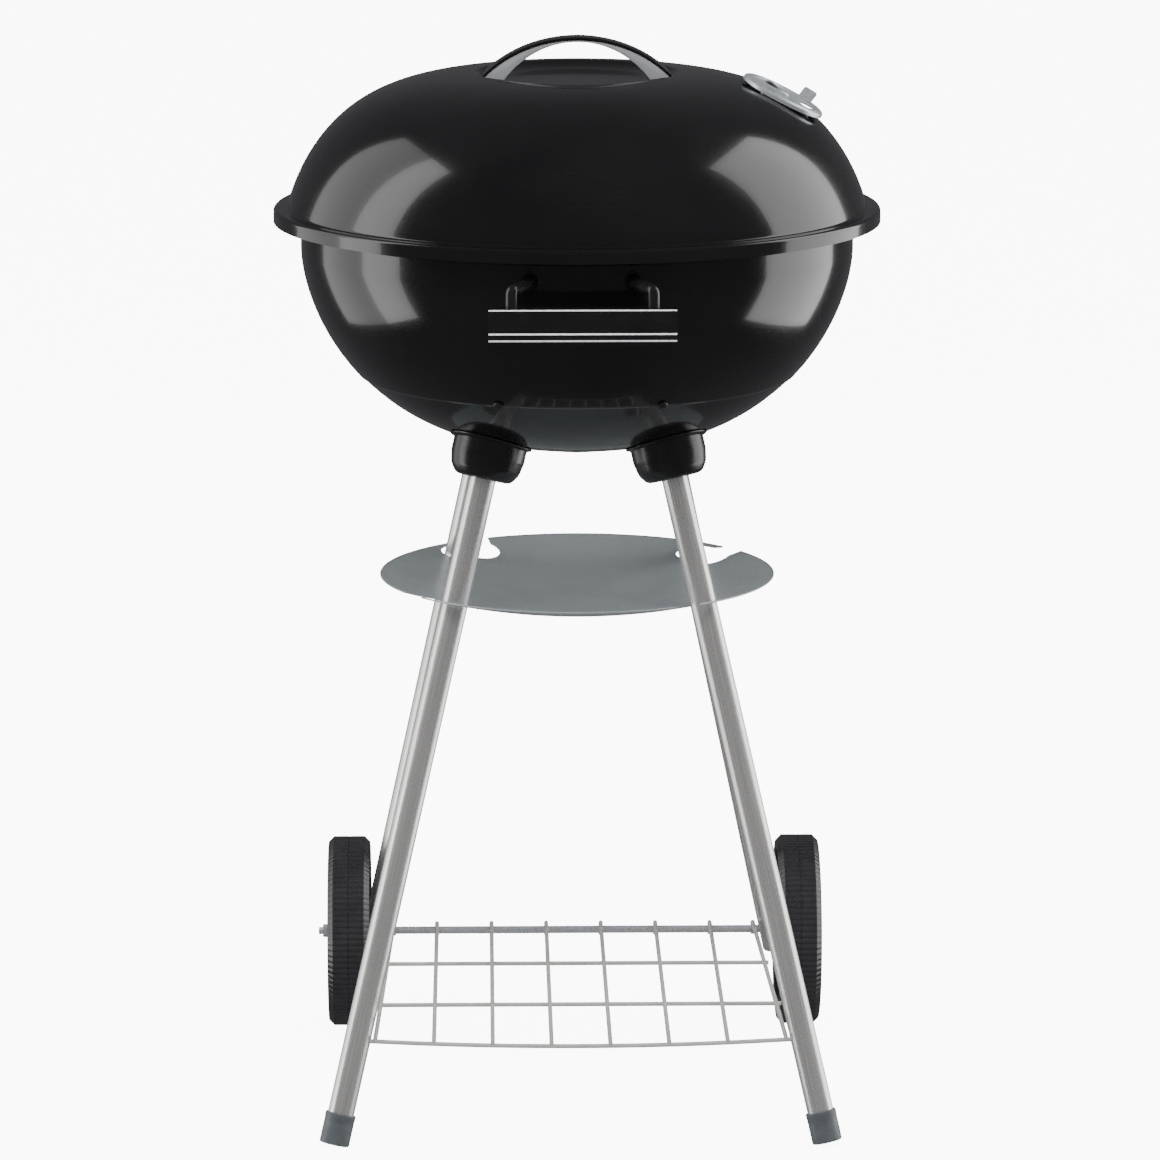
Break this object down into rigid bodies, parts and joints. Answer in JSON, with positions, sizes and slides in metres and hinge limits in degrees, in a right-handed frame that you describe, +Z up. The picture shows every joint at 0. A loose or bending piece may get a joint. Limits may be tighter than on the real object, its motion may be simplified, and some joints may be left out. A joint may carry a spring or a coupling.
{
  "type": "kettle charcoal grill",
  "caption": "Round kettle charcoal grill with a domed lift-off lid, bowl, splayed tube legs, ash catcher, wire shelf and a pair of rear wheels.",
  "frame": {"origin": "on the ground under the middle of the kettle, which is also the middle of the whole width and depth", "axes": "+Z up; the front handle faces -Y and the wheels are at +Y; +X is the side with the lid damper, the right of someone in front"},
  "size_m": [0.484, 0.526, 0.8608],
  "materials": {
    "kettle_enamel": "glossy black porcelain enamel",
    "black_plastic": "black glass-filled nylon, semi-gloss",
    "cap_plastic": "dark grey matt plastic",
    "handle_chrome": "polished chrome",
    "leg_steel": "bright drawn tube, lengthwise grain",
    "wire_plating": "bright plated wire",
    "grate_chrome": "plated cooking grate",
    "grate_steel": "bare steel bars, dull grey",
    "damper_steel": "satin grey sheet",
    "bracket_steel": "plated steel strip",
    "grey_paint": "grey semi-gloss paint",
    "zinc_hardware": "bright zinc plate"
  },
  "bodies": {
    "stand": {"bowl_shell": "kettle_enamel", "bottom_damper_rivet": "zinc_hardware", "front_handle_grip": "black_plastic", "front_handle_arm_left": "black_plastic", "front_handle_screw_left": "zinc_hardware", "front_handle_arm_right": "black_plastic", "front_handle_screw_right": "zinc_hardware", "leg_socket_front_left": "black_plastic", "leg_front_left": "leg_steel", "leg_bolt_front_left": "zinc_hardware", "charcoal_grate_bracket_front_left": "bracket_steel", "charcoal_bracket_bolt_front_left": "zinc_hardware", "leg_socket_front_right": "black_plastic", "leg_front_right": "leg_steel", "leg_bolt_front_right": "zinc_hardware", "charcoal_grate_bracket_front_right": "bracket_steel", "charcoal_bracket_bolt_front_right": "zinc_hardware", "leg_socket_rear_left": "black_plastic", "leg_rear_left": "leg_steel", "leg_bolt_rear_left": "zinc_hardware", "charcoal_grate_bracket_rear_left": "bracket_steel", "charcoal_bracket_bolt_rear_left": "zinc_hardware", "leg_socket_rear_right": "black_plastic", "leg_rear_right": "leg_steel", "leg_bolt_rear_right": "zinc_hardware", "charcoal_grate_bracket_rear_right": "bracket_steel", "charcoal_bracket_bolt_rear_right": "zinc_hardware", "foot_cap_left": "cap_plastic", "axle_washer_left": "zinc_hardware", "foot_cap_right": "cap_plastic", "axle_washer_right": "zinc_hardware", "axle": "zinc_hardware", "axle_nut": "zinc_hardware", "wire_shelf": "wire_plating", "cooking_grate_tab_1": "bracket_steel", "cooking_grate_tab_2": "bracket_steel", "cooking_grate_tab_3": "bracket_steel", "cooking_grate_tab_4": "bracket_steel"},
    "lid": {"lid_shell": "kettle_enamel", "lid_handle_bracket": "handle_chrome", "lid_handle_grip": "black_plastic", "lid_handle_bolt_left": "zinc_hardware", "lid_handle_bolt_right": "zinc_hardware", "lid_damper_rivet": "zinc_hardware"},
    "lid_vent_disc": {"lid_damper": "damper_steel"},
    "bottom_vent_disc": {"bottom_damper": "damper_steel"},
    "cooking_grate": {"cooking_grate": "grate_chrome"},
    "charcoal_grate": {"charcoal_grate": "grate_steel"},
    "ash_catcher": {"ash_catcher": "grey_paint"},
    "wheel_left": {"wheel_left": "black_plastic"},
    "wheel_right": {"wheel_right": "black_plastic"}
  },
  "joints": [
    {"name": "lid_lift", "type": "slide", "parent": "stand", "child": "lid", "axis": [0, 0, 1], "range_m": [0, 0.3]},
    {"name": "lid_vent_turn", "type": "hinge", "parent": "lid", "child": "lid_vent_disc", "pos_m": [0.16288, -0.01425, 0.8144], "axis": [0.4534, -0.0397, 0.8904], "range_deg": [0, 60]},
    {"name": "bottom_vent_turn", "type": "hinge", "parent": "stand", "child": "bottom_vent_disc", "pos_m": [0, 0, 0.5328], "axis": [0, 0, 1], "range_deg": [0, 45]},
    {"name": "cooking_grate_lift", "type": "slide", "parent": "stand", "child": "cooking_grate", "axis": [0, 0, 1], "range_m": [0, 0.06]},
    {"name": "charcoal_grate_lift", "type": "slide", "parent": "stand", "child": "charcoal_grate", "axis": [0, 0, 1], "range_m": [0, 0.07]},
    {"name": "ash_catcher_turn", "type": "hinge", "parent": "stand", "child": "ash_catcher", "pos_m": [0, 0, 0.4263], "axis": [0, 0, 1], "range_deg": [0, 9]},
    {"name": "wheel_left_roll", "type": "hinge", "parent": "stand", "child": "wheel_left", "pos_m": [-0.1893, 0.183, 0.08], "axis": [1, 0, 0], "continuous": true},
    {"name": "wheel_right_roll", "type": "hinge", "parent": "stand", "child": "wheel_right", "pos_m": [0.1893, 0.183, 0.08], "axis": [1, 0, 0], "continuous": true}
  ]
}
